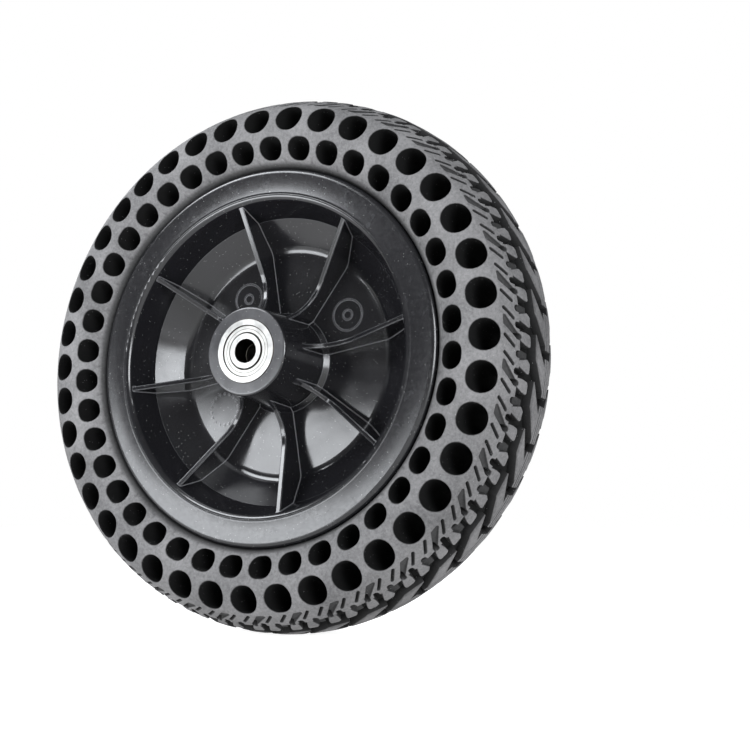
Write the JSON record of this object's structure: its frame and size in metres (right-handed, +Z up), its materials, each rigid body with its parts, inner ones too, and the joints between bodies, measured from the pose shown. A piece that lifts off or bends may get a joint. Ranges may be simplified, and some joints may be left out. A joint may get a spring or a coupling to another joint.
{
  "type": "free-rolling wheel",
  "caption": "Free-rolling wheel with a perforated airless tyre on a ribbed one-piece plastic hub, running on two shielded ball bearings.",
  "frame": {"origin": "centre of the wheel, on the axle line halfway across the tyre", "axes": "+Y along the axle line, with the front face looking towards -Y; +Z up"},
  "size_m": [0.19, 0.0564, 0.19],
  "materials": {
    "tyre_rubber": "matt moulded rubber, slightly dusty",
    "hub_plastic": "glossy moulded plastic",
    "bearing_steel": "ground and polished steel",
    "shield_steel": "pressed bright steel",
    "ball_steel": "polished steel",
    "cage_steel": "pressed steel with a film of grease",
    "spacer_metal": "turned aluminium"
  },
  "bodies": {
    "axle_side": {"spacer_sleeve": "spacer_metal", "front_bearing_inner_ring": "bearing_steel", "rear_bearing_inner_ring": "bearing_steel"},
    "wheel": {"tyre": "tyre_rubber", "hub": "hub_plastic", "front_bearing_outer_ring": "bearing_steel", "front_bearing_front_shield": "shield_steel", "front_bearing_rear_shield": "shield_steel", "rear_bearing_outer_ring": "bearing_steel", "rear_bearing_front_shield": "shield_steel", "rear_bearing_rear_shield": "shield_steel"},
    "front_cage": {"front_cage_front_half": "cage_steel", "front_cage_rear_half": "cage_steel", "front_cage_rivets": "cage_steel"},
    "front_ball_1": {"front_ball_1": "ball_steel"},
    "front_ball_2": {"front_ball_2": "ball_steel"},
    "front_ball_3": {"front_ball_3": "ball_steel"},
    "front_ball_4": {"front_ball_4": "ball_steel"},
    "front_ball_5": {"front_ball_5": "ball_steel"},
    "front_ball_6": {"front_ball_6": "ball_steel"},
    "front_ball_7": {"front_ball_7": "ball_steel"},
    "rear_cage": {"rear_cage_front_half": "cage_steel", "rear_cage_rear_half": "cage_steel", "rear_cage_rivets": "cage_steel"},
    "rear_ball_1": {"rear_ball_1": "ball_steel"},
    "rear_ball_2": {"rear_ball_2": "ball_steel"},
    "rear_ball_3": {"rear_ball_3": "ball_steel"},
    "rear_ball_4": {"rear_ball_4": "ball_steel"},
    "rear_ball_5": {"rear_ball_5": "ball_steel"},
    "rear_ball_6": {"rear_ball_6": "ball_steel"},
    "rear_ball_7": {"rear_ball_7": "ball_steel"}
  },
  "joints": [
    {"name": "wheel_spin", "type": "hinge", "parent": "axle_side", "child": "wheel", "pos_m": [0, 0, 0], "axis": [0, 1, 0], "continuous": true},
    {"name": "front_cage_spin", "type": "hinge", "parent": "axle_side", "child": "front_cage", "pos_m": [0, -0.0247, 0], "axis": [0, 1, 0], "continuous": true},
    {"name": "front_ball_1_spin", "type": "hinge", "parent": "front_cage", "child": "front_ball_1", "pos_m": [0, -0.0247, 0.0075], "axis": [0, 1, 0], "continuous": true},
    {"name": "front_ball_2_spin", "type": "hinge", "parent": "front_cage", "child": "front_ball_2", "pos_m": [0.00586, -0.0247, 0.00468], "axis": [0, 1, 0], "continuous": true},
    {"name": "front_ball_3_spin", "type": "hinge", "parent": "front_cage", "child": "front_ball_3", "pos_m": [0.00731, -0.0247, -0.00167], "axis": [0, 1, 0], "continuous": true},
    {"name": "front_ball_4_spin", "type": "hinge", "parent": "front_cage", "child": "front_ball_4", "pos_m": [0.00325, -0.0247, -0.00676], "axis": [0, 1, 0], "continuous": true},
    {"name": "front_ball_5_spin", "type": "hinge", "parent": "front_cage", "child": "front_ball_5", "pos_m": [-0.00325, -0.0247, -0.00676], "axis": [0, 1, 0], "continuous": true},
    {"name": "front_ball_6_spin", "type": "hinge", "parent": "front_cage", "child": "front_ball_6", "pos_m": [-0.00731, -0.0247, -0.00167], "axis": [0, 1, 0], "continuous": true},
    {"name": "front_ball_7_spin", "type": "hinge", "parent": "front_cage", "child": "front_ball_7", "pos_m": [-0.00586, -0.0247, 0.00468], "axis": [0, 1, 0], "continuous": true},
    {"name": "rear_cage_spin", "type": "hinge", "parent": "axle_side", "child": "rear_cage", "pos_m": [0, 0.0247, 0], "axis": [0, 1, 0], "continuous": true},
    {"name": "rear_ball_1_spin", "type": "hinge", "parent": "rear_cage", "child": "rear_ball_1", "pos_m": [0, 0.0247, 0.0075], "axis": [0, 1, 0], "continuous": true},
    {"name": "rear_ball_2_spin", "type": "hinge", "parent": "rear_cage", "child": "rear_ball_2", "pos_m": [0.00586, 0.0247, 0.00468], "axis": [0, 1, 0], "continuous": true},
    {"name": "rear_ball_3_spin", "type": "hinge", "parent": "rear_cage", "child": "rear_ball_3", "pos_m": [0.00731, 0.0247, -0.00167], "axis": [0, 1, 0], "continuous": true},
    {"name": "rear_ball_4_spin", "type": "hinge", "parent": "rear_cage", "child": "rear_ball_4", "pos_m": [0.00325, 0.0247, -0.00676], "axis": [0, 1, 0], "continuous": true},
    {"name": "rear_ball_5_spin", "type": "hinge", "parent": "rear_cage", "child": "rear_ball_5", "pos_m": [-0.00325, 0.0247, -0.00676], "axis": [0, 1, 0], "continuous": true},
    {"name": "rear_ball_6_spin", "type": "hinge", "parent": "rear_cage", "child": "rear_ball_6", "pos_m": [-0.00731, 0.0247, -0.00167], "axis": [0, 1, 0], "continuous": true},
    {"name": "rear_ball_7_spin", "type": "hinge", "parent": "rear_cage", "child": "rear_ball_7", "pos_m": [-0.00586, 0.0247, 0.00468], "axis": [0, 1, 0], "continuous": true}
  ],
  "couplings": [
    {"joint": "front_cage_spin", "follows": "wheel_spin", "ratio": 0.6323},
    {"joint": "front_ball_1_spin", "follows": "wheel_spin", "ratio": 1.7573},
    {"joint": "front_ball_2_spin", "follows": "wheel_spin", "ratio": 1.7573},
    {"joint": "front_ball_3_spin", "follows": "wheel_spin", "ratio": 1.7573},
    {"joint": "front_ball_4_spin", "follows": "wheel_spin", "ratio": 1.7573},
    {"joint": "front_ball_5_spin", "follows": "wheel_spin", "ratio": 1.7573},
    {"joint": "front_ball_6_spin", "follows": "wheel_spin", "ratio": 1.7573},
    {"joint": "front_ball_7_spin", "follows": "wheel_spin", "ratio": 1.7573},
    {"joint": "rear_cage_spin", "follows": "wheel_spin", "ratio": 0.6323},
    {"joint": "rear_ball_1_spin", "follows": "wheel_spin", "ratio": 1.7573},
    {"joint": "rear_ball_2_spin", "follows": "wheel_spin", "ratio": 1.7573},
    {"joint": "rear_ball_3_spin", "follows": "wheel_spin", "ratio": 1.7573},
    {"joint": "rear_ball_4_spin", "follows": "wheel_spin", "ratio": 1.7573},
    {"joint": "rear_ball_5_spin", "follows": "wheel_spin", "ratio": 1.7573},
    {"joint": "rear_ball_6_spin", "follows": "wheel_spin", "ratio": 1.7573},
    {"joint": "rear_ball_7_spin", "follows": "wheel_spin", "ratio": 1.7573}
  ]
}
